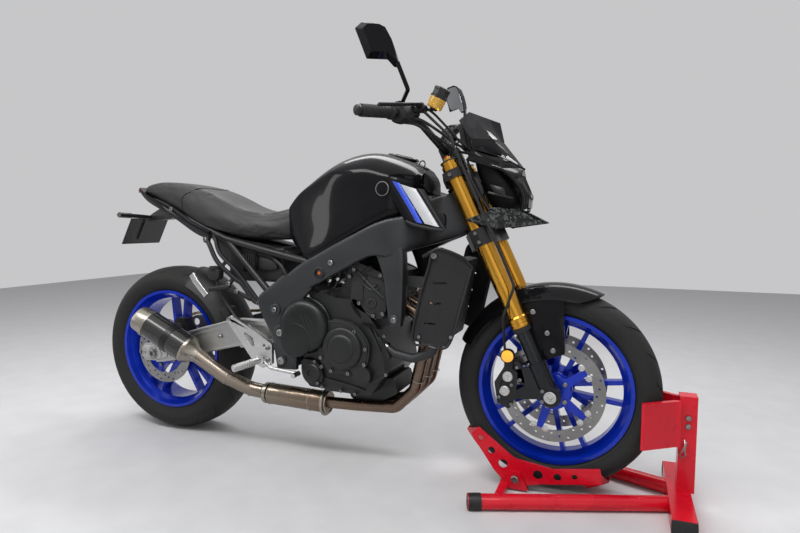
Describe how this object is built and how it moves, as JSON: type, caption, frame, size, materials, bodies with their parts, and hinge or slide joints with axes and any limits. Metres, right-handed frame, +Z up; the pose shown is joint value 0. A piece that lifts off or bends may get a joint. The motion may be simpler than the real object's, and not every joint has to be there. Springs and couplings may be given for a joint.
{
  "type": "standard motorcycle",
  "caption": "Naked street motorcycle with cast wheels, upside-down fork, twin-spar frame, chain drive and a round silencer, held upright by a front wheel stand.",
  "frame": {"origin": "on the floor under the middle of the whole object's length and width", "axes": "+X forward along the motorcycle, +Y to its left, +Z up"},
  "size_m": [2.133, 0.8206, 1.3213],
  "materials": {
    "stand_base": "gloss",
    "stand_rocker": "gloss",
    "stand_post": "gloss",
    "fork_tubes": "anodised",
    "fork_legs": "satin",
    "yokes": "satin",
    "front_axle": "brushed",
    "handlebar": "matte",
    "bar_controls": "matte",
    "mirrors": "satin",
    "headlight_cowl": "gloss",
    "headlight_lens": "gloss",
    "fly_screen": "gloss",
    "winglets": "gloss",
    "dash": "matte",
    "front_fender": "gloss",
    "front_calipers": "satin",
    "reflectors": "gloss",
    "brake_hoses": "satin",
    "main_frame": "matte",
    "subframe": "satin",
    "fuel_tank": "gloss",
    "air_ducts": "gloss",
    "seat": "matte",
    "tail_cowl": "satin",
    "tail_lamp": "gloss",
    "plate_holder": "matte",
    "engine_block": "satin",
    "engine_covers": "satin",
    "radiator": "matte",
    "radiator_covers": "matte",
    "exhaust": "satin",
    "silencer": "satin",
    "swingarm": "brushed",
    "rear_axle": "brushed",
    "chain": "satin",
    "rear_shock": "satin",
    "rider_footrests": "polished",
    "pillion_footrests": "satin",
    "hugger": "matte",
    "rear_caliper": "satin",
    "battery_box": "matte",
    "front_tyre": "matte",
    "front_rim": "gloss",
    "front_discs": "brushed",
    "rear_tyre": "matte",
    "rear_rim": "gloss",
    "rear_disc": "brushed",
    "rear_sprocket": "satin",
    "side_stand": "satin"
  },
  "bodies": {
    "front_end": {"stand_base": "stand_base", "stand_rocker": "stand_rocker", "stand_post": "stand_post", "fork_tubes": "fork_tubes", "fork_legs": "fork_legs", "yokes": "yokes", "front_axle": "front_axle", "handlebar": "handlebar", "bar_controls": "bar_controls", "mirrors": "mirrors", "headlight_cowl": "headlight_cowl", "headlight_lens": "headlight_lens", "fly_screen": "fly_screen", "winglets": "winglets", "dash": "dash", "front_fender": "front_fender", "front_calipers": "front_calipers", "reflectors": "reflectors", "brake_hoses": "brake_hoses"},
    "chassis": {"main_frame": "main_frame", "subframe": "subframe", "fuel_tank": "fuel_tank", "air_ducts": "air_ducts", "seat": "seat", "tail_cowl": "tail_cowl", "tail_lamp": "tail_lamp", "plate_holder": "plate_holder", "engine_block": "engine_block", "engine_covers": "engine_covers", "radiator": "radiator", "radiator_covers": "radiator_covers", "exhaust": "exhaust", "silencer": "silencer", "swingarm": "swingarm", "rear_axle": "rear_axle", "chain": "chain", "rear_shock": "rear_shock", "rider_footrests": "rider_footrests", "pillion_footrests": "pillion_footrests", "hugger": "hugger", "rear_caliper": "rear_caliper", "battery_box": "battery_box"},
    "front_wheel": {"front_tyre": "front_tyre", "front_rim": "front_rim", "front_discs": "front_discs"},
    "rear_wheel": {"rear_tyre": "rear_tyre", "rear_rim": "rear_rim", "rear_disc": "rear_disc", "rear_sprocket": "rear_sprocket"},
    "side_stand": {"side_stand": "side_stand"}
  },
  "joints": [
    {"name": "steering", "type": "hinge", "parent": "front_end", "child": "chassis", "pos_m": [0.39865, 0, 0.83953], "axis": [-0.4226, 0, 0.9063], "range_deg": [-30, 30]},
    {"name": "front_wheel_spin", "type": "hinge", "parent": "front_end", "child": "front_wheel", "pos_m": [0.6785, 0, 0.308], "axis": [0, 1, 0], "continuous": true},
    {"name": "rear_wheel_spin", "type": "hinge", "parent": "chassis", "child": "rear_wheel", "pos_m": [-0.7515, 0, 0.315], "axis": [0, 1, 0], "continuous": true},
    {"name": "side_stand_fold", "type": "hinge", "parent": "chassis", "child": "side_stand", "pos_m": [-0.1555, 0.176, 0.292], "axis": [0, -0.9272, -0.3746], "range_deg": [0, 105]}
  ]
}
